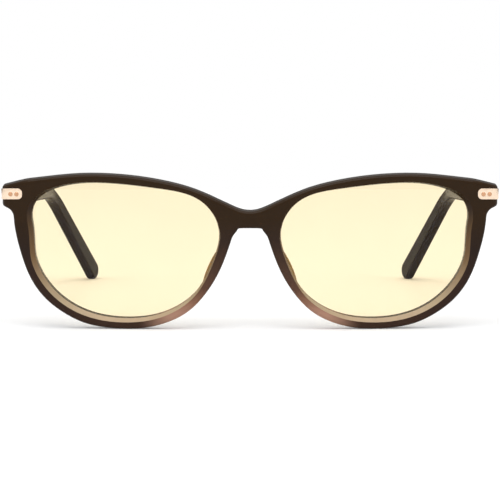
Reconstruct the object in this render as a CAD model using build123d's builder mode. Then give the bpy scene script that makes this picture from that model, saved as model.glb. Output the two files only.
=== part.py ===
from build123d import *
import os
from math import atan2, cos, degrees, radians, sin, tan

# Full-rim acetate glasses, open and at rest on a table.
# X runs across the glasses, +Y from the lenses towards the ear ends, +Z up. The table is Z = 0,
# and the origin is under the middle of the open glasses. "Left" is the wearer's left, which is +X.
# Each left-hand piece is modelled and its right-hand twin is its mirror image.

os.makedirs("parts", exist_ok=True)

# ---- driving dimensions, millimetres and degrees ----
LENS_W = 54.0            # width of one lens blank, in its groove
LENS_H = 39.4            # height of one lens blank
LENS_GAP = 15.4          # distance between the two lenses, across the nose
LENS_T = 1.6             # lens thickness
LENS_RADIUS = 265.0      # radius of the lens's front curve
LENS_APEX = 0.5          # depth of the lens's middle behind the rim's front face
GROOVE_DEPTH = 0.8       # how far the lens sits inside the rim
GROOVE_W = 0.8           # width of the groove
GROOVE_BACK = 1.7        # from the rim's front face to the groove
LENS_PLAY = 0.05         # play round the lens

RIM_T = 4.2              # depth of the rims, front to back
RIM_TOP = 1.9            # rim widths outside the lens blank
RIM_BOTTOM = 2.2
RIM_OUTER = 2.8
RIM_NOSE = 3.1
BEVEL_DEPTH = 1.1        # depth of the polished bevel round each lens
BEVEL_TOP = 0.35         # its widths
BEVEL_BOTTOM = 1.0
BEVEL_OUTER = 1.2
BEVEL_NOSE = 0.35
EDGE_R = 1.0             # rounding of the front's outer edges
BACK_EDGE_R = 0.25       # rounding of the rims' back edges
FORM = 4.0               # each half of the front turns back by this angle
BRIDGE_R = 60.0          # radius at which the two halves meet
BRIDGE_TOP = 11.8        # bridge edges at the middle, above the lens centre line
BRIDGE_UNDER = 7.05

END_REACH = 3.0          # how far the end piece stands out beyond the rim
END_H = 5.8              # height of the end piece
END_RISE = 0.8           # its lower edge above the corner where the rim's lower line starts
END_FALL = 0.27          # slope of its upper edge at the outer end
END_CORNER_R = 2.0       # outer corner, seen from above
END_NOTCH_R = 3.0        # hollow corner between end piece and rim
LEG_T = 3.5              # thickness of the end piece's backward leg
LEG_INTO = 1.0           # how far the leg runs into the end piece
HINGE_BEHIND = 12.4      # from the end piece's front corner back to the hinge axis

PANTO = 8.0              # tilt of the front to the temples
HINGE_IN = 1.5           # hinge axis inside the temple's inner face
BUTT_GAP = 0.3           # gap between end piece and temple
TEMPLE_T = (3.5, 3.2, 2.8)       # temple thickness at hinge, bend and tip
TEMPLE_H = (5.3, 3.9, 5.9)       # temple height at hinge, bend and tip
TEMPLE_BEND = 92.0       # hinge axis to the ear bend
EAR_LENGTH = 46.0        # bend to tip
EAR_DROP = 38.0          # the ear end turns down by this angle
EAR_TURN = 16.2          # and inwards by this angle
TOE_IN = 2.1             # inward lean of the straight bar
BEND_R = 23.0            # radius of the downward bend
TURN_R = 34.0            # radius of the inward bend
TEMPLE_EDGE_R = 0.9      # rounding of the temple's long edges
TIP_ROUND = 0.96         # rounding of its tip, as a share of half the tip's height

CORE_T = 0.9             # wire core: thickness, height, and height of its flat hinge end
CORE_H = 1.4
CORE_END_H = 2.6
CORE_END_LENGTH = 11.0
CORE_SHORT = 7.0         # the core stops this far before the tip
CORE_PLAY = 0.05

PLAQUE_H = 3.0           # corner plaque: height, thickness, part that stands proud
PLAQUE_T = 0.9
PLAQUE_PROUD = 0.3
PLAQUE_RISE = 0.7        # its middle above the end piece's middle
PLAQUE_REACH = 5.7       # its inner end on the front, from the end piece's side
PLAQUE_END_R = 1.2       # rounding of that end
PLAQUE_STOP = 1.0        # it stops this far before the temple joint
PINS_AT = (4.1, 2.4)     # plaque pins, from the end piece's side
PIN_R = 0.45
PIN_HEAD_R = 0.6
PIN_HEAD_H = 0.2
PIN_LENGTH = 3.0
HEAD_ROUND = 0.8         # rounding of pin and rivet heads, as a share of their height

KNUCKLE_R = 1.3          # hinge barrels
KNUCKLES = 5
KNUCKLE_GAP = 0.08
HINGE_H = 4.6            # height of the whole barrel
SCREW_R = 0.7
SCREW_PLAY = 0.05        # running play of the screw in the barrel
SCREW_HEAD_R = 1.1
SCREW_HEAD_H = 0.6
SLOT_W = 0.3
SLOT_DEPTH = 0.3
LEAF_T = 1.0             # hinge leaves: thickness, height, part sunk in the acetate
LEAF_H = 4.0
LEAF_SUNK = 0.5
LEAF_CORNER_R = 0.8      # far corners of each leaf
ARM_T = 1.1              # arms from the barrel pieces to the leaf
LEAF_CLEAR = 1.5         # the leaf starts this far from the axis
FRONT_LEAF_END = 6.7     # far end of each leaf, from the axis
TEMPLE_LEAF_END = 10.5
RIVET_R = 0.5
RIVET_PLAY = 0.03
RIVET_HEAD_R = 0.8
RIVET_HEAD_H = 0.25
FRONT_RIVETS_AT = (3.4, 5.6)     # rivets, from the axis
TEMPLE_RIVETS_AT = (4.0, 8.5)

PAD_RISE = 4.4           # nose pads: height off the rim's back face
PAD_LENGTH = 14.0
PAD_W = 3.2
PAD_STEPS = ((0.0, 1.0), (0.45, 0.82), (0.8, 0.58), (1.0, 0.24))     # share of the rise, share of the width
PAD_SHIFT = 0.6          # sideways lean of the pad's crest, away from the nose
PAD_IN = 2.7             # middle of the pad, from the lens's nose side and below its centre line
PAD_DOWN = 4.6
PAD_LEAN = 24.0          # slant of the pad, following the rim

# Lens shape, as fractions of half the width and half the height, from the outer side round
# the top to the nose and back under.
LENS_SHAPE = (
    (1.0, 0.42), (0.94, 0.77), (0.68, 0.963), (0.2, 1.02), (-0.38, 0.941), (-0.82, 0.748),
    (-0.993, 0.34), (-0.92, -0.14), (-0.735, -0.6), (-0.38, -0.92), (0.0, -1.0), (0.38, -0.925),
    (0.8, -0.545), (0.965, -0.12),
)
# The brow line from the nose to the end piece, and the rim's lower line from the end piece round
# to the bridge, as fractions of the rim's half width and half height. The lower line starts level
# with the rim's outermost side.
RIM_SIDE = 1.054
BROW_SHAPE = (
    (-1.0, 0.6), (-0.86, 0.69), (-0.638, 0.82), (-0.339, 0.928), (-0.04, 0.988),
    (0.258, 1.01), (0.56, 0.991), (0.859, 0.941),
)
LOWER_SHAPE = (
    (RIM_SIDE, 0.543), (1.047, 0.372), (0.99, -0.014), (0.903, -0.343), (0.765, -0.612),
    (0.584, -0.806), (0.393, -0.93), (0.195, -0.985), (0.0, -1.0), (-0.191, -0.98),
    (-0.387, -0.907), (-0.575, -0.768), (-0.727, -0.556), (-0.836, -0.329), (-0.938, -0.008),
    (-0.978, 0.16), (-0.996, 0.222), (-1.032, 0.29),
)

# ---- places worked out from them ----
LENS_X = LENS_GAP / 2 + LENS_W / 2
FRONT_HALF = LENS_X + (LENS_W / 2 + RIM_OUTER) * RIM_SIDE + END_REACH
END_UNDER = (LENS_H / 2 + RIM_TOP) * LOWER_SHAPE[0][1] + END_RISE
END_TOP = END_UNDER + END_H
FORM_SLOPE = tan(radians(FORM))
CORNER_BACK = FRONT_HALF * FORM_SLOPE
END_MID = (END_TOP + END_UNDER) / 2
HINGE_BACK = CORNER_BACK + HINGE_BEHIND * cos(radians(PANTO))
HINGE_X = FRONT_HALF - LEG_T - HINGE_IN
HINGE_UP = END_MID - HINGE_BEHIND * sin(radians(PANTO))
REACH = 200.0            # longer than the glasses
ACROSS = 40.0            # further than the temples lean in or the front turns back
OVER = 1.0               # how far a cut runs past a face
TOUCH = 0.001            # points closer than this are one point

# The glasses stand on the lower rims and the ear ends, which sets the slope of the temples.
rim_low = (LENS_X * FORM_SLOPE + EDGE_R - HINGE_BACK, -(LENS_H / 2 + RIM_BOTTOM) - HINGE_UP)
rim_low_back = rim_low[0] * cos(radians(PANTO)) - rim_low[1] * sin(radians(PANTO))
rim_low_up = rim_low[0] * sin(radians(PANTO)) + rim_low[1] * cos(radians(PANTO))
TIP_R = TEMPLE_H[2] / 2
tip_back = TEMPLE_BEND + (EAR_LENGTH - TIP_R) * cos(radians(EAR_DROP))
tip_up = -(EAR_LENGTH - TIP_R) * sin(radians(EAR_DROP))
SLOPE = degrees(atan2(tip_up - TIP_R - rim_low_up, tip_back - rim_low_back))
LEAN = PANTO - SLOPE

FORWARD = Vector(0, -cos(radians(LEAN)), -sin(radians(LEAN)))
BACK = Vector(0, cos(radians(SLOPE)), -sin(radians(SLOPE)))
UP = Vector(0, sin(radians(SLOPE)), cos(radians(SLOPE)))
hinge_y = HINGE_BACK * cos(radians(LEAN)) - HINGE_UP * sin(radians(LEAN))
tip_y = hinge_y + tip_back * cos(radians(SLOPE)) + tip_up * sin(radians(SLOPE)) + TIP_R
nose_y = -BRIDGE_TOP * sin(radians(LEAN))
FRONT_Z = (LENS_H / 2 + RIM_BOTTOM) * cos(radians(LEAN)) - (rim_low[0] + HINGE_BACK) * sin(radians(LEAN))
FRONT = Plane(origin=(0, -(nose_y + tip_y) / 2, FRONT_Z), x_dir=(1, 0, 0), z_dir=FORWARD)
FRONT_TOP = Plane(origin=FRONT.origin, x_dir=(1, 0, 0), z_dir=FRONT.y_dir)
LENS = Plane(FRONT.location * Location((LENS_X, 0, -LENS_X * FORM_SLOPE), (0, FORM, 0)))
PIVOT = FRONT.from_local_coords((HINGE_X, HINGE_UP, -HINGE_BACK))
HINGE_TOP = Plane(origin=PIVOT, x_dir=(1, 0, 0), z_dir=UP)          # (across, back)
HINGE_SIDE = Plane(origin=PIVOT, x_dir=BACK, z_dir=(1, 0, 0))       # (back, up)
TEMPLE_MID = HINGE_IN + TEMPLE_T[0] / 2
RIM_BACK = RIM_T / cos(radians(FORM))


def lens_outline(grow):
    """The lens's shape, larger or smaller by grow all round."""
    half_w = LENS_W / 2 + grow
    half_h = LENS_H / 2 + grow
    Spline(*[(u * half_w, v * half_h) for u, v in LENS_SHAPE], periodic=True)


def bevel_outline(share):
    """The bevel's shape: the lens opening at share 0, and its edge on the rim's face at share 1."""
    half_w = LENS_W / 2 - GROOVE_DEPTH + share * (BEVEL_OUTER + BEVEL_NOSE) / 2
    half_h = LENS_H / 2 - GROOVE_DEPTH + share * (BEVEL_TOP + BEVEL_BOTTOM) / 2
    across = share * (BEVEL_OUTER - BEVEL_NOSE) / 2
    down = share * (BEVEL_BOTTOM - BEVEL_TOP) / 2
    Spline(*[(u * half_w + across, v * half_h - down) for u, v in LENS_SHAPE], periodic=True)


def rim_point(u, v):
    """A point of the front's outline, from its fractions of the rim's size."""
    half_w = LENS_W / 2 + (RIM_OUTER if u > 0 else RIM_NOSE)
    half_h = LENS_H / 2 + (RIM_TOP if v > 0 else RIM_BOTTOM)
    return (LENS_X + u * half_w, v * half_h)


def band(path, halves, bend, ends=0.0):
    """The closed outline of a strip about a path of three points, with its half width at each."""
    start, middle, end = (Vector(*point) for point in path)
    first = (middle - start).normalized()
    second = (end - middle).normalized()
    turned = first.get_signed_angle(second, Vector(0, 0, 1))
    mitre = (first.rotate(Axis.Z, 90) + second.rotate(Axis.Z, 90)).normalized()
    reach = halves[1] / cos(radians(turned / 2))
    side = 1 if turned > 0 else -1
    offsets = (first.rotate(Axis.Z, 90) * halves[0], mitre * reach, second.rotate(Axis.Z, 90) * halves[2])
    spots = (start, middle, end)
    left = [spot + step for spot, step in zip(spots, offsets)]
    right = [spot - step for spot, step in zip(spots, offsets)]
    radii = (0, bend - side * halves[1], ends, ends, bend + side * halves[1], 0)
    FilletPolyline(*left, *reversed(right), radius=radii, close=True)


def temple_side_path():
    """The temple's middle line seen from the side, as (back, up)."""
    drop = radians(EAR_DROP)
    start = (BUTT_GAP / 2, 0)
    end = (TEMPLE_BEND + EAR_LENGTH * cos(drop), -EAR_LENGTH * sin(drop))
    return (start, (TEMPLE_BEND, 0), end)


def temple_top_path():
    """The temple's middle line seen from above, as (across, back)."""
    far = EAR_LENGTH * cos(radians(EAR_DROP)) + TIP_R
    bend_x = TEMPLE_MID - TEMPLE_BEND * tan(radians(TOE_IN))
    start = (TEMPLE_MID, BUTT_GAP / 2)
    end = (bend_x - far * tan(radians(TOE_IN + EAR_TURN)), TEMPLE_BEND + far)
    return (start, (bend_x, TEMPLE_BEND), end)


def wire_core(play):
    """The temple's wire core, or with play the channel that holds it."""
    side_start, side_bend, side_end = temple_side_path()
    short = Vector(*side_end) - (Vector(*side_end) - Vector(*side_bend)).normalized() * (CORE_SHORT - play)
    begin = 0 if play else BUTT_GAP     # the channel is open at the temple's joint face
    with BuildPart() as core:
        with BuildSketch(HINGE_SIDE.offset(-ACROSS)):
            with BuildLine():
                band(((begin, 0), side_bend, (short.X, short.Y)), [CORE_H / 2 + play] * 3, BEND_R)
            make_face()
            with Locations(((begin + CORE_END_LENGTH) / 2, 0)):
                Rectangle(CORE_END_LENGTH - begin, CORE_END_H + 2 * play)
        extrude(amount=2 * ACROSS)
        with BuildSketch(HINGE_TOP.offset(-REACH / 2)):
            with BuildLine():
                band(temple_top_path(), [CORE_T / 2 + play] * 3, TURN_R)
            make_face()
        extrude(amount=REACH, mode=Mode.INTERSECT)
    return core.part


def plaque_strip(play):
    """The corner plaque's section seen from above, following the end piece's skin."""
    half = PLAQUE_T / 2 + play
    inset = PLAQUE_T / 2 - PLAQUE_PROUD
    inner = FRONT_HALF - PLAQUE_REACH
    start = (inner, inner * FORM_SLOPE + inset)
    corner = (FRONT_HALF - inset, (FRONT_HALF - inset) * FORM_SLOPE + inset)
    end = (FRONT_HALF - inset, HINGE_BACK)
    band((start, corner, end), [half] * 3, END_CORNER_R - inset)


def pin(plane, radius, length, head_r, head_h):
    """A pin down from the plane, with a low rounded head standing on it."""
    with Locations(plane):
        Cylinder(radius, length, align=(Align.CENTER, Align.CENTER, Align.MAX))
        Cylinder(head_r, head_h, align=(Align.CENTER, Align.CENTER, Align.MIN))


def plaque_pin_planes():
    """Where the plaque's pins stand, on the plaque's front face."""
    out = []
    for at in PINS_AT:
        x = FRONT_HALF - at
        spot = Location((x, END_MID + PLAQUE_RISE, PLAQUE_PROUD - x * FORM_SLOPE), (0, FORM, 0))
        out.append(Plane(FRONT.location * spot))
    return out


def knuckle_levels(first):
    """The heights of every second barrel piece, from the given one."""
    pitch = HINGE_H / KNUCKLES
    return [(i + 0.5) * pitch - HINGE_H / 2 for i in range(first, KNUCKLES, 2)]


def hinge_leaf(first, way, end, rivets):
    """A hinge leaf: its barrel pieces, their arms and its plate, going forward (-1) or back (+1)."""
    knuckle_h = HINGE_H / KNUCKLES - KNUCKLE_GAP
    plate_out = HINGE_IN + LEAF_SUNK
    with BuildPart() as leaf:
        for level in knuckle_levels(first):
            with BuildSketch(HINGE_TOP.offset(level - knuckle_h / 2)):
                Circle(KNUCKLE_R)
                arm = LEAF_CLEAR + ARM_T
                with Locations((KNUCKLE_R - ARM_T / 2, way * arm / 2)):
                    Rectangle(ARM_T, arm)
            extrude(amount=knuckle_h)
        with BuildSketch(HINGE_SIDE.offset(plate_out - LEAF_T)) as plate:
            with Locations((way * (LEAF_CLEAR + end) / 2, 0)):
                Rectangle(end - LEAF_CLEAR, LEAF_H)
            fillet(plate.vertices().group_by(Axis.X)[-1 if way > 0 else 0], LEAF_CORNER_R)
        extrude(amount=LEAF_T)
        with BuildSketch(HINGE_TOP.offset(-HINGE_H)):
            Circle(SCREW_R + SCREW_PLAY)
        extrude(amount=2 * HINGE_H, mode=Mode.SUBTRACT)
        with BuildSketch(HINGE_SIDE):
            with Locations(*[(way * at, 0) for at in rivets]):
                Circle(RIVET_R + RIVET_PLAY)
        extrude(amount=ACROSS, mode=Mode.SUBTRACT)
    return leaf.part


def rivets(way, places, outer):
    """Rivets through a leaf, from the given outer end to their heads on the leaf's inner side."""
    inner = HINGE_IN + LEAF_SUNK - LEAF_T
    for at in places:
        spot = HINGE_SIDE.from_local_coords((way * at, 0, inner))
        pin(Plane(origin=spot, z_dir=(-1, 0, 0)), RIVET_R, outer - inner, RIVET_HEAD_R, RIVET_HEAD_H)


def outer_rims(piece, way):
    """The edges of the faces that lie outermost along a direction."""
    faces = [face for face in piece.faces() if face.normal_at().dot(way) > 0.999]
    far = max(face.center().dot(way) for face in faces)
    level = [face for face in faces if face.center().dot(way) > far - PIN_HEAD_H]
    return [edge for face in level for edge in face.edges()]


def skin_edges(piece, way):
    """The outline of the front's skin on the side that faces the given way."""
    faces = [f for f in piece.faces() if f.normal_at().dot(way) > 0.5]
    edges = [edge for face in faces for edge in face.edges()]
    spots = [edge @ 0.5 for edge in edges]
    near = [sum((spot - other).length < TOUCH for other in spots) for spot in spots]
    return [edge for edge, count in zip(edges, near) if count == 1]


# ---- corner plaques: metal plates let into the end pieces, wrapped round the corner ----
with BuildPart() as left_corner_plaque:
    with BuildSketch(FRONT_TOP.offset(END_MID - ACROSS)):
        with BuildLine():
            plaque_strip(0)
        make_face()
    extrude(amount=2 * ACROSS)
    # Seen from the side it is a straight bar along the end piece's leg.
    with BuildSketch(HINGE_SIDE.offset(-ACROSS)):
        with Locations((-BUTT_GAP / 2 - PLAQUE_STOP, PLAQUE_RISE)):
            Rectangle(2 * HINGE_BEHIND, PLAQUE_H, align=(Align.MAX, Align.CENTER))
    extrude(amount=2 * ACROSS, mode=Mode.INTERSECT)
    inner_end = left_corner_plaque.faces().sort_by(Axis.X)[0]
    corners = [edge for edge in inner_end.edges() if abs((edge % 0.5).dot(LENS.z_dir)) > 0.9]
    fillet(corners, PLAQUE_END_R)
    for plane in plaque_pin_planes():
        with Locations(plane):
            Cylinder(PIN_R, 3 * PLAQUE_T, mode=Mode.SUBTRACT)

with BuildPart() as left_plaque_pins:
    for plane in plaque_pin_planes():
        pin(plane, PIN_R, PIN_LENGTH, PIN_HEAD_R, PIN_HEAD_H)
    fillet(outer_rims(left_plaque_pins, LENS.z_dir), PIN_HEAD_H * HEAD_ROUND)

# ---- hinges: riveted leaves, a barrel of five pieces and a screw down through it ----
with BuildPart() as left_front_hinge_leaf:
    add(hinge_leaf(0, -1, FRONT_LEAF_END, FRONT_RIVETS_AT))

with BuildPart() as left_temple_hinge_leaf:
    add(hinge_leaf(1, 1, TEMPLE_LEAF_END, TEMPLE_RIVETS_AT))

with BuildPart() as left_front_hinge_rivets:
    rivets(-1, FRONT_RIVETS_AT, HINGE_IN + LEG_T - (PLAQUE_T - PLAQUE_PROUD))
    fillet(outer_rims(left_front_hinge_rivets, Vector(-1, 0, 0)), RIVET_HEAD_H * HEAD_ROUND)

with BuildPart() as left_temple_rivets:
    rivets(1, TEMPLE_RIVETS_AT, HINGE_IN + TEMPLE_T[0])
    fillet(outer_rims(left_temple_rivets, Vector(-1, 0, 0)), RIVET_HEAD_H * HEAD_ROUND)

with BuildPart() as left_hinge_screw:
    with BuildSketch(HINGE_TOP.offset(-HINGE_H / 2)):
        Circle(SCREW_R)
    extrude(amount=HINGE_H)
    with BuildSketch(HINGE_TOP.offset((HINGE_H - KNUCKLE_GAP) / 2)):
        Circle(SCREW_HEAD_R)
    extrude(amount=SCREW_HEAD_H)
    fillet(outer_rims(left_hinge_screw, UP), SCREW_HEAD_H / 3)
    with BuildSketch(HINGE_TOP.offset((HINGE_H - KNUCKLE_GAP) / 2 + SCREW_HEAD_H - SLOT_DEPTH)):
        Rectangle(3 * SCREW_HEAD_R, SLOT_W)
    extrude(amount=SCREW_HEAD_H, mode=Mode.SUBTRACT)

# What the acetate is cut away for at a hinge: the sunk parts of both leaves and the rivets' holes.
with BuildPart() as left_hinge_seat:
    for way, end, places, deep in (
        (-1, FRONT_LEAF_END, FRONT_RIVETS_AT, LEG_T - PLAQUE_T / 2),
        (1, TEMPLE_LEAF_END, TEMPLE_RIVETS_AT, 2 * TEMPLE_T[0]),
    ):
        with BuildSketch(HINGE_SIDE.offset(-HINGE_IN)):
            with Locations((way * end / 2, 0)):
                Rectangle(end, LEAF_H)
        extrude(amount=2 * HINGE_IN + LEAF_SUNK)
        with BuildSketch(HINGE_SIDE.offset(HINGE_IN)):
            with Locations(*[(way * at, 0) for at in places]):
                Circle(RIVET_R + RIVET_PLAY)
        extrude(amount=deep)

# ---- front: the acetate rims, bridge and end pieces in one piece ----
with BuildPart() as lens_cut:
    with BuildSketch(LENS.offset(-RIM_T - OVER)):
        with BuildLine():
            lens_outline(-GROOVE_DEPTH)
        make_face()
    extrude(amount=RIM_T + 3 * OVER)
    with BuildSketch(LENS.offset(-GROOVE_BACK - GROOVE_W)):
        with BuildLine():
            lens_outline(LENS_PLAY)
        make_face()
    extrude(amount=GROOVE_W)

with BuildPart() as bevel_cut:
    for share in (0.0, 1.5):
        with BuildSketch(LENS.offset((share - 1) * BEVEL_DEPTH)):
            with BuildLine():
                bevel_outline(share)
            make_face()
    loft()

with BuildPart() as front_frame:
    # The strip seen from above: a shallow V, with rounded outer corners.
    with BuildSketch(FRONT_TOP.offset(-REACH / 2)):
        with BuildLine():
            half = ((FRONT_HALF, CORNER_BACK), (FRONT_HALF, CORNER_BACK + RIM_BACK))
            other = [(-x, y) for x, y in reversed(half)]
            radii = (BRIDGE_R, END_CORNER_R, 0, BRIDGE_R + RIM_T, 0, END_CORNER_R)
            FilletPolyline((0, 0), *half, (0, RIM_BACK), *other, radius=radii, close=True)
        make_face()
    extrude(amount=REACH)
    # The outline seen from ahead.
    with BuildSketch(FRONT.offset(ACROSS)) as outline:
        with BuildLine() as edge:
            brow = Spline(
                (0, BRIDGE_TOP), *[rim_point(u, v) for u, v in BROW_SHAPE], (FRONT_HALF, END_TOP),
                tangents=((1, 0), (1, -END_FALL)),
            )
            lower = Spline(
                *[rim_point(u, v) for u, v in LOWER_SHAPE], (0, BRIDGE_UNDER),
                tangents=((-0.05, -1), (-1, 0)),
            )
            Line(brow @ 1, (FRONT_HALF, END_UNDER))
            Line((FRONT_HALF, END_UNDER), lower @ 0)
            mirror(edge.line, about=Plane.YZ)
        make_face()
        notches = [v for v in outline.vertices() if abs(abs(v.X) - (lower @ 0).X) < TOUCH]
        fillet(notches, END_NOTCH_R)
    extrude(amount=-2 * ACROSS, mode=Mode.INTERSECT)
    fillet(skin_edges(front_frame, FORWARD), EDGE_R)
    rear_edges = skin_edges(front_frame, -FORWARD)
    fillet([edge for edge in rear_edges if abs((edge @ 0.5).X) < FRONT_HALF - EDGE_R / 2], BACK_EDGE_R)
    # A leg goes back from each end piece, in line with the temple, to the temple joint.
    butt = Plane(origin=PIVOT - BACK * (BUTT_GAP / 2), x_dir=(1, 0, 0), z_dir=-BACK)
    for x in (HINGE_IN + LEG_T / 2, -2 * HINGE_X - HINGE_IN - LEG_T / 2):
        with BuildSketch(butt):
            with Locations((x, 0)):
                RectangleRounded(LEG_T, END_H, EDGE_R)
        extrude(amount=HINGE_BEHIND - BUTT_GAP / 2 - RIM_BACK + LEG_INTO)
    # Lens openings with their grooves and bevels, then seats for plaques, hinge leaves, pins and rivets.
    for cut in (lens_cut, bevel_cut, left_corner_plaque, left_plaque_pins, left_hinge_seat):
        add(cut.part, mode=Mode.SUBTRACT)
        mirror(cut.part, about=Plane.YZ, mode=Mode.SUBTRACT)

# ---- lenses: a curved blank with a thin flange in the rim's groove ----
with BuildPart() as left_lens:
    with BuildSketch(LENS.offset(-RIM_T)):
        with BuildLine():
            lens_outline(-GROOVE_DEPTH - LENS_PLAY)
        make_face()
    extrude(amount=RIM_T)
    with Locations(LENS.offset(-LENS_APEX - LENS_RADIUS)):
        Sphere(LENS_RADIUS, rotation=(90, 0, 0), mode=Mode.INTERSECT)
        Sphere(LENS_RADIUS - LENS_T, rotation=(90, 0, 0), mode=Mode.SUBTRACT)
    with BuildSketch(LENS.offset(-GROOVE_BACK - GROOVE_W + LENS_PLAY)):
        with BuildLine():
            lens_outline(0)
        make_face()
    extrude(amount=GROOVE_W - 2 * LENS_PLAY)

# ---- nose pads: built-up pads cemented to the back of the rims ----
with BuildPart() as left_nose_pad:
    for rise, size in PAD_STEPS:
        with BuildSketch(LENS.offset(-RIM_T - rise * PAD_RISE)):
            across = rise * PAD_SHIFT + PAD_IN - LENS_W / 2
            with Locations(Location((across, -PAD_DOWN, 0), (0, 0, PAD_LEAN))):
                Ellipse(size * PAD_W / 2, (1 + size) * PAD_LENGTH / 4)
    loft()

# ---- temples: acetate with a wire core ----
with BuildPart() as left_temple_core:
    add(wire_core(0))
    with BuildSketch(HINGE_SIDE):
        with Locations(*[(at, 0) for at in TEMPLE_RIVETS_AT]):
            Circle(RIVET_R + RIVET_PLAY)
    extrude(amount=ACROSS, mode=Mode.SUBTRACT)

with BuildPart() as left_temple:
    with BuildSketch(HINGE_SIDE.offset(-ACROSS)):
        with BuildLine():
            band(temple_side_path(), [height / 2 for height in TEMPLE_H], BEND_R, ends=TIP_R * TIP_ROUND)
        make_face()
    extrude(amount=2 * ACROSS)
    with BuildSketch(HINGE_TOP.offset(-REACH / 2)):
        with BuildLine():
            band(temple_top_path(), [thick / 2 for thick in TEMPLE_T], TURN_R)
        make_face()
    extrude(amount=REACH, mode=Mode.INTERSECT)
    butt_face = left_temple.faces().sort_by(Axis(PIVOT, BACK))[0]
    joint = butt_face.edges()
    long_edges = [e for e in left_temple.edges() if min((e @ 0.5 - j @ 0.5).length for j in joint) > TOUCH]
    long_edges = [e for e in long_edges if abs((e % 0.5).dot(Vector(1, 0, 0))) < 0.9]
    fillet(long_edges, TEMPLE_EDGE_R)
    add(wire_core(CORE_PLAY), mode=Mode.SUBTRACT)
    add(left_hinge_seat.part, mode=Mode.SUBTRACT)

# ---- labels and files: each left piece, and its mirror image on the right ----
front_frame.part.label = "front_frame"
export_step(front_frame.part, "parts/front_frame.step")

sides = (
    ("lens", left_lens),
    ("nose_pad", left_nose_pad),
    ("corner_plaque", left_corner_plaque),
    ("plaque_pins", left_plaque_pins),
    ("front_hinge_leaf", left_front_hinge_leaf),
    ("front_hinge_rivets", left_front_hinge_rivets),
    ("hinge_screw", left_hinge_screw),
    ("temple_hinge_leaf", left_temple_hinge_leaf),
    ("temple_rivets", left_temple_rivets),
    ("temple_core", left_temple_core),
    ("temple", left_temple),
)
for name, left in sides:
    with BuildPart() as right:
        mirror(left.part, about=Plane.YZ)
    left.part.label = "left_" + name
    right.part.label = "right_" + name
    export_step(left.part, f"parts/left_{name}.step")
    export_step(right.part, f"parts/right_{name}.step")

print("slope of the temples", round(SLOPE, 3), "lean of the front", round(LEAN, 3))
print("left hinge axis at", PIVOT, "along", UP)
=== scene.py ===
import math

import bpy
from mathutils import Matrix, Vector


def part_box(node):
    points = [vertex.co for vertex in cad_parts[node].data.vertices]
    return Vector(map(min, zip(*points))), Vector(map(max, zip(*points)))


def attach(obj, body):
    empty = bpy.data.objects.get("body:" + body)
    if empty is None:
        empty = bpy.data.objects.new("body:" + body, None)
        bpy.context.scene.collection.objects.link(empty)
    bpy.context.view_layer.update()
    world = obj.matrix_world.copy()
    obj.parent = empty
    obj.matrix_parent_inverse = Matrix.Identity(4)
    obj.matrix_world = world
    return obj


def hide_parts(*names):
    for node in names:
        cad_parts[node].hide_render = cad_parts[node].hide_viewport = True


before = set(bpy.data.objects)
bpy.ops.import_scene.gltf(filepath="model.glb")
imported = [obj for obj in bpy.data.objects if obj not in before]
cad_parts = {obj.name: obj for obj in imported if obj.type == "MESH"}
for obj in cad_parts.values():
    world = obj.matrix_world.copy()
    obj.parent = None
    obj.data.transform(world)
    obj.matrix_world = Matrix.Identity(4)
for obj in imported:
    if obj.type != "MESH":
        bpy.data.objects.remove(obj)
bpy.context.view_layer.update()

bl_info = {
    "name": "Acetate Glasses",
    "version": (1, 0, 0),
    "blender": (4, 5, 0),
    "location": "3D View > Sidebar > Glasses",
    "description": "Finishes, small details and stage for a pair of folding acetate glasses",
    "category": "Object",
}

MM = 0.001
MERGE_GAP = 0.001 * MM       # points nearer than this become one
SIDES = ("left", "right")

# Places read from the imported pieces, in metres.
LENS_LOW, LENS_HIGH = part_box("left_lens")
LENS_MID = (LENS_LOW + LENS_HIGH) / 2
LENS_WIDTH = LENS_HIGH.x - LENS_LOW.x
FRONT_LOW, FRONT_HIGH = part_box("front_frame")
FRONT_MID_Z = (FRONT_LOW.z + FRONT_HIGH.z) / 2
FACE_Y = (LENS_LOW.y + FRONT_LOW.y) / 2    # about where the front's face is

# How the front stands.
FORM = math.radians(4)       # each half of the front turns back by this angle
LEAN = math.radians(4.72)    # the front's top leans forward by this angle

# The bevel round each lens.
BEVEL_DEPTH = 1.3 * MM       # it ends this far behind the rim's face
BEVEL_REACH = 1.2 * MM       # and this far past the lens's outer side
FLAT = 0.985                 # a face this nearly square to a direction counts as flat to it
SLANT = 0.15                 # a face turned less than this to a direction counts as turned away from it

# The lenses.
EDGE_STEPS = 180             # steps round a lens
RINGS = 32                   # rings from its middle to its edge
FLANGE_BACK = Vector((0, 0, 1.6 * MM))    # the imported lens's flange lies this far behind its front's middle
GROOVE_HOLD = 0.65 * MM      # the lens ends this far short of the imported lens's edge, inside the groove
LENS_SET_BACK = 0.2 * MM     # keeps the lens's face behind the rim's bevel

# Finishes.
SMOOTH_ANGLE = math.radians(30)
RAMP_SPAN = (-22.0, 22.0)    # heights above the front's middle, in mm, that a colour ramp covers
PAINTED_SIDE_SHADE_SPAN = (14 * MM, 3 * MM)    # where the painted side shade fades in, as distances inward of the lens's middle
NOISE_SPAN = {"From Min": 0.3, "From Max": 0.7}    # where nearly all of a noise's values lie


def colour(hex_text):
    """A colour written as sRGB hex, as linear red, green, blue and alpha."""
    parts = [int(hex_text[i:i + 2], 16) / 255 for i in (1, 3, 5)]
    return tuple(p / 12.92 if p <= 0.04045 else ((p + 0.055) / 1.055) ** 2.4 for p in parts) + (1.0,)


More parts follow.
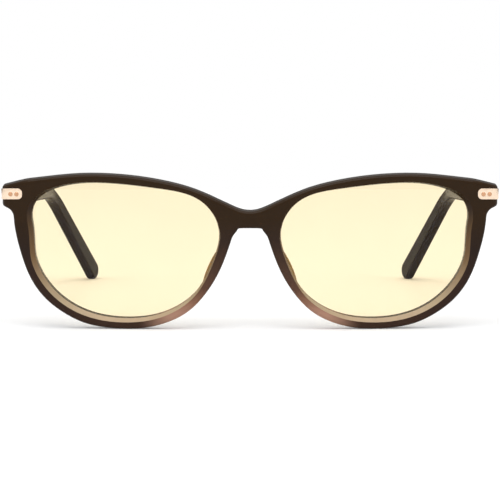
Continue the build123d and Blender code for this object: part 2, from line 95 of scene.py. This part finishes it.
def add_node(tree, kind, inputs=None, stops=None, **settings):
    """A node with its settings, its input values or links, and the stops of its ramp if it has one."""
    node = tree.nodes.new(kind)
    for name, value in settings.items():
        setattr(node, name, value)
    if stops:
        ramp = node.color_ramp
        while len(ramp.elements) < len(stops):
            ramp.elements.new(1.0)
        for element, (position, shade) in zip(ramp.elements, stops):
            element.position = position
            element.color = shade
    for key, value in (inputs or {}).items():
        if isinstance(value, bpy.types.NodeSocket):
            tree.links.new(value, node.inputs[key])
        else:
            node.inputs[key].default_value = value
    return node


def new_material(name):
    """An empty material with its output, as (material, tree, output)."""
    material = bpy.data.materials.new(name)
    material.use_nodes = True
    material.node_tree.nodes.clear()
    output = material.node_tree.nodes.new("ShaderNodeOutputMaterial")
    return material, material.node_tree, output


def heights(stops):
    """Ramp stops from (height above the front's middle in mm, hex) pairs, over RAMP_SPAN."""
    low, high = RAMP_SPAN
    return [((z - low) / (high - low), colour(shade)) for z, shade in stops]


# ---- finishes ----
def polished_acetate(name, look, shade_stops, painted_side_shade_stops=None, roughness=0.16, shine=None):
    """Cellulose acetate, cut from a dyed block and tumble-polished.

    The dye fades down the block and clouds it slightly; polishing leaves a deep gloss with faint swirls. Side
    stops, where given, are painted shade: darker towards the temples, standing for the dark reflection in the
    rim's rolled outer edge.
    """
    material, tree, output = new_material(name)
    place = add_node(tree, "ShaderNodeTexCoord").outputs["Object"]
    xyz = add_node(tree, "ShaderNodeSeparateXYZ", {0: place})
    low, high = RAMP_SPAN
    level = add_node(tree, "ShaderNodeMapRange", {
        "Value": xyz.outputs["Z"], "From Min": FRONT_MID_Z + low * MM, "From Max": FRONT_MID_Z + high * MM,
    })
    ramp = add_node(tree, "ShaderNodeValToRGB", {0: level.outputs[0]}, stops=heights(shade_stops))
    shade = ramp.outputs[0]
    # Painted shade: nearer the temples the colour blends into the darker side stops, standing for the dark
    # reflection in the rim's rolled outer edge.
    if painted_side_shade_stops:
        across = add_node(tree, "ShaderNodeMath", {0: xyz.outputs["X"]}, operation="ABSOLUTE")
        start, finish = PAINTED_SIDE_SHADE_SPAN
        painted_shade_share = add_node(tree, "ShaderNodeMapRange", {
            "Value": across.outputs[0], "From Min": LENS_MID.x - start, "From Max": LENS_MID.x - finish,
        }, interpolation_type="SMOOTHSTEP")
        side = add_node(tree, "ShaderNodeValToRGB", {0: level.outputs[0]}, stops=heights(painted_side_shade_stops))
        shade = add_node(tree, "ShaderNodeMix", {
            0: painted_shade_share.outputs[0], 6: shade, 7: side.outputs[0],
        }, data_type="RGBA").outputs[2]
    # Clouds in the dye are about 5 mm long.
    clouds = add_node(tree, "ShaderNodeTexNoise", {
        "Vector": place, "Scale": 1 / (5 * MM), "Detail": 4.0, "Roughness": 0.55, "Distortion": 0.6,
    })
    cloud_light = add_node(tree, "ShaderNodeMapRange", {
        "Value": clouds.outputs["Fac"], **NOISE_SPAN,
        "To Min": 1 - look.dye_clouds, "To Max": 1 + look.dye_clouds,
    })
    clouded = add_node(tree, "ShaderNodeVectorMath", {
        0: shade, "Scale": cloud_light.outputs[0],
    }, operation="SCALE")
    # Polishing swirls are about 0.4 mm apart, drawn coarser than real ones so that they show.
    swirls = add_node(tree, "ShaderNodeTexNoise", {
        "Vector": place, "Scale": 1 / (0.4 * MM), "Detail": 2.0, "Distortion": 1.5,
    })
    rough = add_node(tree, "ShaderNodeMapRange", {
        "Value": swirls.outputs["Fac"], **NOISE_SPAN,
        "To Min": roughness - 0.03, "To Max": roughness + 0.05,
    })
    bump = add_node(tree, "ShaderNodeBump", {
        "Height": swirls.outputs["Fac"], "Strength": 0.04, "Distance": 0.02 * MM,
    })
    shader = add_node(tree, "ShaderNodeBsdfPrincipled", {
        "Base Color": clouded.outputs[0], "Roughness": rough.outputs[0], "Normal": bump.outputs[0],
        "IOR": 1.49, "Specular IOR Level": look.acetate_shine if shine is None else shine,
    })
    tree.links.new(shader.outputs[0], output.inputs[0])
    return material


def fitting_metal(name, shade, rough_low, rough_high, grain):
    """Metal of a small fitting, bare or thinly plated, with the fine lines that its working leaves.

    The lines draw the highlight out across the glasses, and handling leaves small duller patches.
    """
    material, tree, output = new_material(name)
    place = add_node(tree, "ShaderNodeTexCoord").outputs["Object"]
    # The lines are grain apart and twenty times as long.
    stretched = add_node(tree, "ShaderNodeMapping", {
        "Vector": place, "Scale": (1 / (20 * grain), 1 / (20 * grain), 1 / grain),
    })
    lines = add_node(tree, "ShaderNodeTexNoise", {
        "Vector": stretched.outputs[0], "Scale": 1.0, "Detail": 2.0,
    })
    # The duller patches are about 1.5 mm across.
    patches = add_node(tree, "ShaderNodeTexNoise", {
        "Vector": place, "Scale": 1 / (1.5 * MM), "Detail": 3.0,
    })
    both = add_node(tree, "ShaderNodeMath", {
        0: lines.outputs["Fac"], 1: patches.outputs["Fac"],
    }, operation="MULTIPLY")
    rough = add_node(tree, "ShaderNodeMapRange", {
        "Value": both.outputs[0], "From Min": 0.15, "From Max": 0.35,
        "To Min": rough_low, "To Max": rough_high,
    })
    bump = add_node(tree, "ShaderNodeBump", {
        "Height": lines.outputs["Fac"], "Strength": 0.05, "Distance": 0.01 * MM,
    })
    tint = add_node(tree, "ShaderNodeMapRange", {
        "Value": patches.outputs["Fac"], **NOISE_SPAN, "To Min": 0.95, "To Max": 1.03,
    })
    toned = add_node(tree, "ShaderNodeVectorMath", {
        0: shade[:3], "Scale": tint.outputs[0],
    }, operation="SCALE")
    shader = add_node(tree, "ShaderNodeBsdfPrincipled", {
        "Base Color": toned.outputs[0], "Metallic": 1.0,
        "Roughness": rough.outputs[0], "Normal": bump.outputs[0],
    })
    tree.links.new(shader.outputs[0], output.inputs[0])
    return material


def tinted_lens_resin(name, look):
    """Optical resin, cast, dyed pale yellow and hard-coated.

    It is nearly clear, warms what is behind it, and its coating leaves a faint cool reflection.
    """
    material, tree, output = new_material(name)
    place = add_node(tree, "ShaderNodeTexCoord").outputs["Object"]
    # The dye is very slightly uneven over about 12 mm.
    drift = add_node(tree, "ShaderNodeTexNoise", {"Vector": place, "Scale": 1 / (12 * MM), "Detail": 1.0})
    strength = add_node(tree, "ShaderNodeMapRange", {
        "Value": drift.outputs["Fac"], **NOISE_SPAN, "To Min": 0.985, "To Max": 1.0,
    })
    tint = add_node(tree, "ShaderNodeVectorMath", {
        0: tuple(look.lens_tint), "Scale": strength.outputs[0],
    }, operation="SCALE")
    shader = add_node(tree, "ShaderNodeBsdfPrincipled", {
        "Base Color": tint.outputs[0], "Roughness": 0.0, "IOR": 1.5, "Transmission Weight": 1.0,
        "Specular Tint": colour("#757b8c"),
    })
    tree.links.new(shader.outputs[0], output.inputs[0])
    return material


# ---- shaping ----
def deselect_all():
    bpy.ops.object.select_all(action="DESELECT")


def copy_of(node, name):
    """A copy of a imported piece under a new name, the only thing selected."""
    deselect_all()
    piece = bpy.data.objects.new(name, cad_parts[node].data.copy())
    bpy.context.scene.collection.objects.link(piece)
    piece.select_set(True)
    bpy.context.view_layer.objects.active = piece
    return piece


def soften_edges(piece, width):
    """Merges the piece's loose faces and rounds its sharp edges by a small width."""
    bpy.ops.object.mode_set(mode="EDIT")
    bpy.ops.mesh.select_all(action="SELECT")
    bpy.ops.mesh.remove_doubles(threshold=MERGE_GAP)
    bpy.ops.mesh.customdata_custom_splitnormals_clear()
    bpy.ops.mesh.tris_convert_to_quads(face_threshold=math.radians(1), shape_threshold=math.radians(180))
    bpy.ops.mesh.dissolve_limited(angle_limit=math.radians(0.5), delimit={"NORMAL"})
    bpy.ops.object.mode_set(mode="OBJECT")
    rounding = piece.modifiers.new("Edge rounding", "BEVEL")
    rounding.width = width
    rounding.segments = 3
    rounding.limit_method = "ANGLE"
    rounding.angle_limit = math.radians(40)
    rounding.use_clamp_overlap = True
    bpy.ops.object.modifier_apply(modifier=rounding.name)
    bpy.ops.object.shade_smooth_by_angle(angle=SMOOTH_ANGLE)


def put_material(piece, *materials):
    piece.data.materials.clear()
    for material in materials:
        piece.data.materials.append(material)


def mark_bevel(piece):
    """Gives the faces of the bevel round each lens the piece's second material, whose lighter colours are
    painted light for the glow through the thin acetate edge.
    """
    marked = 0
    for face in piece.data.polygons:
        middle = face.center
        side = 1 if middle.x > 0 else -1
        lens = Vector((side * LENS_MID.x, middle.y, LENS_MID.z))
        inward = (lens - middle).normalized()
        # The rim's face turns back from the nose and leans forward at the top.
        face_y = FRONT_LOW.y + math.tan(FORM) * abs(middle.x) + math.tan(LEAN) * (FRONT_HIGH.z - middle.z)
        on_rim = LENS_LOW.x < abs(middle.x) < LENS_HIGH.x + BEVEL_REACH and middle.y - face_y < BEVEL_DEPTH
        if on_rim and SLANT < -face.normal.y < FLAT and face.normal.dot(inward) > SLANT:
            face.material_index = 1
            marked += 1
    if not marked:
        raise RuntimeError("no bevel faces were found round the lenses")


def lens_place(node, sign, radius):
    """The middle of an imported lens's front curve, set back a little, with +Z pointing out of it."""
    low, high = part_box(node)
    middle = (low + high) / 2
    level = math.cos(FORM)
    forward = Vector((sign * math.sin(FORM), -level * math.cos(LEAN), -level * math.sin(LEAN)))
    turn = forward.to_track_quat("Z", "Y").to_matrix().to_4x4()
    points = []
    for angle in (90, 210, 330):
        across = Vector((math.cos(math.radians(angle)), math.sin(math.radians(angle)), 0))
        spot = middle + turn @ (across * LENS_WIDTH / 4) + forward * LENS_WIDTH
        hit, point, _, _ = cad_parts[node].ray_cast(spot, -forward)
        if not hit:
            raise RuntimeError(f"{node} has no face ahead of its middle")
        points.append(point)
    # The circle through the three points gives the curve's axis and, with its radius, its centre.
    first, second = points[1] - points[0], points[2] - points[0]
    axis = first.cross(second)
    reach = (axis.cross(first) * second.length_squared + second.cross(axis) * first.length_squared)
    reach /= 2 * axis.length_squared
    axis = axis.normalized() if axis.dot(forward) > 0 else -axis.normalized()
    centre = points[0] + reach - axis * math.sqrt(radius ** 2 - reach.length_squared)
    turn = axis.to_track_quat("Z", "Y").to_matrix().to_4x4()
    return Matrix.Translation(centre + axis * (radius - LENS_SET_BACK)) @ turn


def edge_reach(node, place, way):
    """How far the lens reaches from its middle along way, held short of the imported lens's edge."""
    outside = place @ (way * LENS_WIDTH - FLANGE_BACK)
    hit, edge, _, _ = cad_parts[node].ray_cast(outside, place.to_3x3() @ -way)
    if not hit:
        raise RuntimeError(f"{node} has no edge on one side")
    return LENS_WIDTH - (edge - outside).length - GROOVE_HOLD


def curved_lens(name, node, place, look):
    """An evenly thick lens: a grid wrapped round its middle, out to its edge, and bent to its front curve."""
    deselect_all()
    bpy.ops.mesh.primitive_grid_add(x_subdivisions=EDGE_STEPS, y_subdivisions=RINGS, size=1)
    lens = bpy.context.object
    lens.name = name
    reaches = {}
    for point in lens.data.vertices:
        around, share = point.co.x + 0.5, point.co.y + 0.5
        way = Vector((math.cos(math.tau * around), -math.sin(math.tau * around), 0))
        step = round(around * EDGE_STEPS) % EDGE_STEPS
        if step not in reaches:
            reaches[step] = edge_reach(node, place, way)
        across = reaches[step] * share
        back = look.lens_radius - math.sqrt(look.lens_radius ** 2 - across ** 2)
        point.co = way * across - Vector((0, 0, back))
    lens.data.transform(place)
    # The grid's two ends meet, and one side of it closes on the lens's middle.
    bpy.ops.object.mode_set(mode="EDIT")
    bpy.ops.mesh.select_all(action="SELECT")
    bpy.ops.mesh.remove_doubles(threshold=MERGE_GAP)
    bpy.ops.object.mode_set(mode="OBJECT")
    wall = lens.modifiers.new("Thickness", "SOLIDIFY")
    wall.thickness = look.lens_thickness
    wall.offset = -1
    bpy.ops.object.modifier_apply(modifier=wall.name)
    bpy.ops.object.shade_smooth_by_angle(angle=SMOOTH_ANGLE)
    return lens


# ---- stage ----
def matt_white_sweep(stage):
    """Studio sweep board, painted matt white.

    It takes soft shadows, and is a little brighter where it is seen, directly or in gloss or through a lens.
    """
    material, tree, output = new_material("Studio sweep board, matt white paint")
    rays = add_node(tree, "ShaderNodeLightPath").outputs
    seen = add_node(tree, "ShaderNodeMath", {
        0: rays["Is Camera Ray"], 1: rays["Is Glossy Ray"],
    }, operation="ADD")
    seen = add_node(tree, "ShaderNodeMath", {
        0: seen.outputs[0], 1: rays["Is Transmission Ray"],
    }, operation="ADD", use_clamp=True)
    lift = add_node(tree, "ShaderNodeMath", {0: seen.outputs[0], 1: stage.floor_lift}, operation="MULTIPLY")
    shader = add_node(tree, "ShaderNodeBsdfPrincipled", {
        "Base Color": tuple(stage.floor_shade) + (1.0,), "Roughness": 0.9, "Specular IOR Level": 0.1,
        "Emission Color": (1, 1, 1, 1), "Emission Strength": lift.outputs[0],
    })
    tree.links.new(shader.outputs[0], output.inputs[0])
    return material


def lay_floor(stage):
    """A square floor under the rims."""
    deselect_all()
    bpy.ops.mesh.primitive_plane_add(size=stage.floor_size, location=(0, 0, FRONT_LOW.z))
    floor = bpy.context.object
    floor.name = "floor"
    bpy.ops.object.transform_apply()
    put_material(floor, matt_white_sweep(stage))


def light_room(stage):
    """A room that is white all round. What gloss shows of it is dimmer low down behind the glasses."""
    world = bpy.data.worlds.new("Studio room")
    world.use_nodes = True
    bpy.context.scene.world = world
    tree = world.node_tree
    tree.nodes.clear()
    rays = add_node(tree, "ShaderNodeLightPath").outputs
    way = add_node(tree, "ShaderNodeTexCoord").outputs["Generated"]
    parts = add_node(tree, "ShaderNodeSeparateXYZ", {0: way}).outputs
    rear = add_node(tree, "ShaderNodeMapRange", {"Value": parts["Y"], "From Min": 0.1, "From Max": 0.7})
    low = add_node(tree, "ShaderNodeMapRange", {
        "Value": parts["Z"], "From Min": 0.2, "From Max": 0.7, "To Min": 1.0, "To Max": 0.0,
    })
    dim = add_node(tree, "ShaderNodeMath", {0: rear.outputs[0], 1: low.outputs[0]}, operation="MULTIPLY")
    gloss = add_node(tree, "ShaderNodeMapRange", {
        "Value": dim.outputs[0], "To Min": 1.0, "To Max": stage.rear_gloss,
    })
    indirect = add_node(tree, "ShaderNodeMapRange", {
        "Value": rays["Is Glossy Ray"], "To Min": stage.room_light, "To Max": gloss.outputs[0],
    })
    seen = add_node(tree, "ShaderNodeMath", {
        0: rays["Is Camera Ray"], 1: rays["Is Transmission Ray"],
    }, operation="ADD", use_clamp=True)
    strength = add_node(tree, "ShaderNodeMapRange", {
        "Value": seen.outputs[0], "To Min": indirect.outputs[0], "To Max": 1.0,
    })
    background = add_node(tree, "ShaderNodeBackground", {
        "Color": (1, 1, 1, 1), "Strength": strength.outputs[0],
    })
    add_node(tree, "ShaderNodeOutputWorld", {"Surface": background.outputs[0]})


def hang_lamps():
    """Soft boxes: one above and ahead, and a weaker one on each side."""
    target = Vector((0, FRONT_LOW.y, FRONT_MID_Z))
    for name, spot, size, watts in (
        ("top_soft_box", (0.0, -0.7, 1.8), 1.6, 20.0),
        ("left_soft_box", (1.8, -1.2, 1.0), 1.2, 6.4),
        ("right_soft_box", (-1.8, -1.2, 1.0), 1.2, 6.4),
    ):
        lamp = bpy.data.lights.new(name, "AREA")
        lamp.shape = "SQUARE"
        lamp.size = size
        lamp.energy = watts
        holder = bpy.data.objects.new(name, lamp)
        holder.location = spot
        holder.rotation_euler = (target - Vector(spot)).to_track_quat("-Z", "Y").to_euler()
        bpy.context.scene.collection.objects.link(holder)


def place_camera(stage):
    """A long lens ahead of the glasses and a little above them."""
    camera = bpy.data.cameras.new("camera")
    camera.lens = stage.focal
    camera.sensor_width = 36
    camera.clip_start = 10 * MM
    holder = bpy.data.objects.new("camera", camera)
    holder.location = (0, FACE_Y - stage.camera_back, FRONT_MID_Z + stage.camera_up)
    aim = Vector((0, FACE_Y, FRONT_MID_Z + stage.aim_up)) - holder.location
    holder.rotation_euler = aim.to_track_quat("-Z", "Y").to_euler()
    bpy.context.scene.collection.objects.link(holder)
    bpy.context.scene.camera = holder


# ---- properties ----
class GlassesLook(bpy.types.PropertyGroup):
    """Colours and finish of the glasses."""
    lens_tint: bpy.props.FloatVectorProperty(
        name="Lens Tint", description="Colour that the lenses give to what is behind them",
        default=colour("#ffefca")[:3], subtype="COLOR", min=0, max=1)
    brow_shade: bpy.props.StringProperty(
        name="Brow", description="Acetate colour along the brow, as sRGB hex", default="#2b1b08")
    temple_shade: bpy.props.StringProperty(
        name="Temples", description="Acetate colour of the temples, as sRGB hex", default="#20160b")
    plating: bpy.props.FloatVectorProperty(
        name="Plating", description="Colour of the corner plaques' plating",
        default=colour("#f0d8c0")[:3], subtype="COLOR", min=0, max=1)
    lens_radius: bpy.props.FloatProperty(
        name="Lens Radius", description="Radius of the lenses' front curve",
        default=265 * MM, unit="LENGTH")
    lens_thickness: bpy.props.FloatProperty(
        name="Lens Thickness", description="Thickness of the lenses",
        default=1.6 * MM, unit="LENGTH")
    dye_clouds: bpy.props.FloatProperty(
        name="Dye Clouds", description="How uneven the dye in the acetate is",
        default=0.06, min=0, max=0.5)
    acetate_shine: bpy.props.FloatProperty(
        name="Acetate Shine", description="Strength of the acetate's reflection",
        default=0.12, min=0, max=1)
    temple_shine: bpy.props.FloatProperty(
        name="Temple Shine", description="Strength of the temples' reflection",
        default=0.04, min=0, max=1)
    metal_edge: bpy.props.FloatProperty(
        name="Metal Edge", description="Rounding of the metal pieces' edges",
        default=0.1 * MM, unit="LENGTH", min=0, max=0.4 * MM)


class GlassesStage(bpy.types.PropertyGroup):
    """Camera, lamps and floor."""
    camera_back: bpy.props.FloatProperty(
        name="Camera Distance", description="From the front's face to the camera",
        default=0.7, unit="LENGTH")
    camera_up: bpy.props.FloatProperty(
        name="Camera Height", description="Height of the camera above the front's middle",
        default=66 * MM, unit="LENGTH")
    aim_up: bpy.props.FloatProperty(
        name="Aim", description="Height above the front's middle that the camera looks at",
        default=0.7 * MM, unit="LENGTH")
    focal: bpy.props.FloatProperty(
        name="Focal Length", description="Focal length in millimetres", default=182.2, min=20, max=400)
    floor_size: bpy.props.FloatProperty(
        name="Floor Size", description="Length of the floor's sides", default=1.0, unit="LENGTH")
    floor_shade: bpy.props.FloatVectorProperty(
        name="Floor", description="Colour of the floor",
        default=colour("#ededed")[:3], subtype="COLOR", min=0, max=1)
    floor_lift: bpy.props.FloatProperty(
        name="Floor Lift", description="Light added to the floor where it is seen",
        default=0.14, min=0, max=1)
    rear_gloss: bpy.props.FloatProperty(
        name="Rear Gloss", description="Strength of the room in gloss, low down behind",
        default=0.2, min=0, max=1)
    room_light: bpy.props.FloatProperty(
        name="Room Light", description="Strength of the light from all round",
        default=0.72, min=0)


# ---- one operator for each piece or group of like pieces ----
class GLASSES_OT_front(bpy.types.Operator):
    """Finish the front: dyed acetate painted darker towards the temples as painted shade, with a bevel round
    each lens painted lighter as painted light through its thin edge
    """
    bl_idname = "glasses.front"
    bl_label = "Front"

    def execute(self, context):
        look = context.scene.glasses_look
        piece = copy_of("front_frame", "acetate_front")
        # The first list is the dye's fade down the front; the second is painted shade, darker towards the
        # temples, for the dark reflection in the rolled outer edge.
        skin = polished_acetate(
            "Cellulose acetate, fading dye, polished", look,
            [(-21, "#ac8772"), (-17.4, "#a77f6c"), (-14, "#845f4b"), (-10.4, "#593d2f"), (-6, "#4a3428"),
             (-1.5, "#3d2a1f"), (3, "#2f2017"), (9, look.brow_shade)],
            [(-21, "#38251b"), (-16, "#301f16"), (-8, "#2e1e16"), (0, "#261912"), (9, look.brow_shade)])
        # Painted light: the bevel's colours are lighter than the face's, painted in for light shining through
        # the thin acetate edge.
        bevel = polished_acetate(
            "Cellulose acetate, painted-light bevel, polished", look,
            [(-20, "#b59d80"), (-14.6, "#ad9a7d"), (-7.6, "#8c7658"), (-0.6, "#6f5539"), (6, "#58432c"),
             (12, "#33251b"), (16, look.brow_shade)], roughness=0.12)
        put_material(piece, skin, bevel)
        mark_bevel(piece)
        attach(piece, "front")
        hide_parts("front_frame")
        return {"FINISHED"}


class GLASSES_OT_lenses(bpy.types.Operator):
    """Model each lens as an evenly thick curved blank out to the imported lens's edge"""
    bl_idname = "glasses.lenses"
    bl_label = "Lenses"

    def execute(self, context):
        look = context.scene.glasses_look
        resin = tinted_lens_resin("Optical resin, pale yellow, hard-coated", look)
        for side, sign in (("left", 1), ("right", -1)):
            node = f"{side}_lens"
            place = lens_place(node, sign, look.lens_radius)
            piece = curved_lens(f"{side}_resin_lens", node, place, look)
            put_material(piece, resin)
            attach(piece, "front")
            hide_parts(node)
        return {"FINISHED"}


class GLASSES_OT_nose_pads(bpy.types.Operator):
    """Finish the built-up nose pads"""
    bl_idname = "glasses.nose_pads"
    bl_label = "Nose Pads"

    def execute(self, context):
        look = context.scene.glasses_look
        acetate = polished_acetate(
            "Cellulose acetate, built-up pad, polished", look,
            [(-16, "#dccab2"), (-8, "#d6c2a8"), (0, "#ceb89c"), (6, "#bda68b")], roughness=0.22)
        for side in SIDES:
            put_material(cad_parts[f"{side}_nose_pad"], acetate)
        return {"FINISHED"}


class GLASSES_OT_plaques(bpy.types.Operator):
    """Plate the corner plaques and round their edges, and plate their pins"""
    bl_idname = "glasses.plaques"
    bl_label = "Corner Plaques"

    def execute(self, context):
        look = context.scene.glasses_look
        plating = tuple(look.plating) + (1.0,)
        plaque_metal = fitting_metal(
            "Rose gold plating on nickel silver, brushed", plating, 0.16, 0.3, 0.06 * MM)
        pin_metal = fitting_metal(
            "Rose gold plating on steel pins, polished", colour("#c99a78"), 0.12, 0.22, 0.04 * MM)
        for side in SIDES:
            node = f"{side}_corner_plaque"
            piece = copy_of(node, f"{side}_plaque")
            soften_edges(piece, look.metal_edge)
            put_material(piece, plaque_metal)
            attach(piece, "front")
            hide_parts(node)
            put_material(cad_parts[f"{side}_plaque_pins"], pin_metal)
        return {"FINISHED"}


class GLASSES_OT_hinges(bpy.types.Operator):
    """Finish the hinge leaves, rivets and screws"""
    bl_idname = "glasses.hinges"
    bl_label = "Hinges"

    def execute(self, context):
        look = context.scene.glasses_look
        leaf_metal = fitting_metal(
            "Nickel silver hinge leaf, satin", colour("#b9b5ad"), 0.25, 0.4, 0.05 * MM)
        rivet_metal = fitting_metal(
            "Nickel silver rivets, peened", colour("#c4c0b8"), 0.2, 0.35, 0.08 * MM)
        screw_metal = fitting_metal(
            "Steel screw, turned", colour("#cfccc6"), 0.12, 0.25, 0.03 * MM)
        for side in SIDES:
            for part, body in (("front", "front"), ("temple", f"{side}_temple_arm")):
                node = f"{side}_{part}_hinge_leaf"
                piece = copy_of(node, f"{side}_{part}_leaf")
                soften_edges(piece, look.metal_edge)
                put_material(piece, leaf_metal)
                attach(piece, body)
                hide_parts(node)
            put_material(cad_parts[f"{side}_front_hinge_rivets"], rivet_metal)
            put_material(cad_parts[f"{side}_temple_rivets"], rivet_metal)
            put_material(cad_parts[f"{side}_hinge_screw"], screw_metal)
        return {"FINISHED"}


class GLASSES_OT_temples(bpy.types.Operator):
    """Finish the temples and their wire cores"""
    bl_idname = "glasses.temples"
    bl_label = "Temples"

    def execute(self, context):
        look = context.scene.glasses_look
        # Painted light: the temples go from temple_shade low down to a lighter #32281c at the top, where
        # light falls on them.
        acetate = polished_acetate(
            "Cellulose acetate, dark temple, polished", look,
            [(-1, look.temple_shade), (10, "#32281c")], roughness=0.2, shine=look.temple_shine)
        wire = fitting_metal("Nickel silver wire, drawn", colour("#b3aea4"), 0.3, 0.45, 0.05 * MM)
        for side in SIDES:
            put_material(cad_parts[f"{side}_temple"], acetate)
            put_material(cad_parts[f"{side}_temple_core"], wire)
        return {"FINISHED"}


class GLASSES_OT_stage(bpy.types.Operator):
    """Set up the floor, the lamps, the room's light and the camera"""
    bl_idname = "glasses.stage"
    bl_label = "Stage"

    def execute(self, context):
        stage = context.scene.glasses_stage
        lay_floor(stage)
        light_room(stage)
        hang_lamps()
        place_camera(stage)
        context.scene.view_settings.view_transform = "Standard"
        return {"FINISHED"}


class GLASSES_PT_panel(bpy.types.Panel):
    """The glasses' pieces and stage"""
    bl_label = "Glasses"
    bl_idname = "GLASSES_PT_panel"
    bl_space_type = "VIEW_3D"
    bl_region_type = "UI"
    bl_category = "Glasses"

    def draw(self, context):
        for group in (context.scene.glasses_look, context.scene.glasses_stage):
            for name in group.__annotations__:
                self.layout.prop(group, name)
        for operator in OPERATORS:
            self.layout.operator(operator.bl_idname)


OPERATORS = (
    GLASSES_OT_front, GLASSES_OT_lenses, GLASSES_OT_nose_pads, GLASSES_OT_plaques,
    GLASSES_OT_hinges, GLASSES_OT_temples, GLASSES_OT_stage,
)
CLASSES = (GlassesLook, GlassesStage, *OPERATORS, GLASSES_PT_panel)


def register():
    for kind in CLASSES:
        bpy.utils.register_class(kind)
    bpy.types.Scene.glasses_look = bpy.props.PointerProperty(type=GlassesLook)
    bpy.types.Scene.glasses_stage = bpy.props.PointerProperty(type=GlassesStage)


def unregister():
    del bpy.types.Scene.glasses_stage
    del bpy.types.Scene.glasses_look
    for kind in reversed(CLASSES):
        bpy.utils.unregister_class(kind)


def main():
    register()
    bpy.ops.glasses.front()
    bpy.ops.glasses.lenses()
    bpy.ops.glasses.nose_pads()
    bpy.ops.glasses.plaques()
    bpy.ops.glasses.hinges()
    bpy.ops.glasses.temples()
    bpy.ops.glasses.stage()


if __name__ == "__main__":
    main()
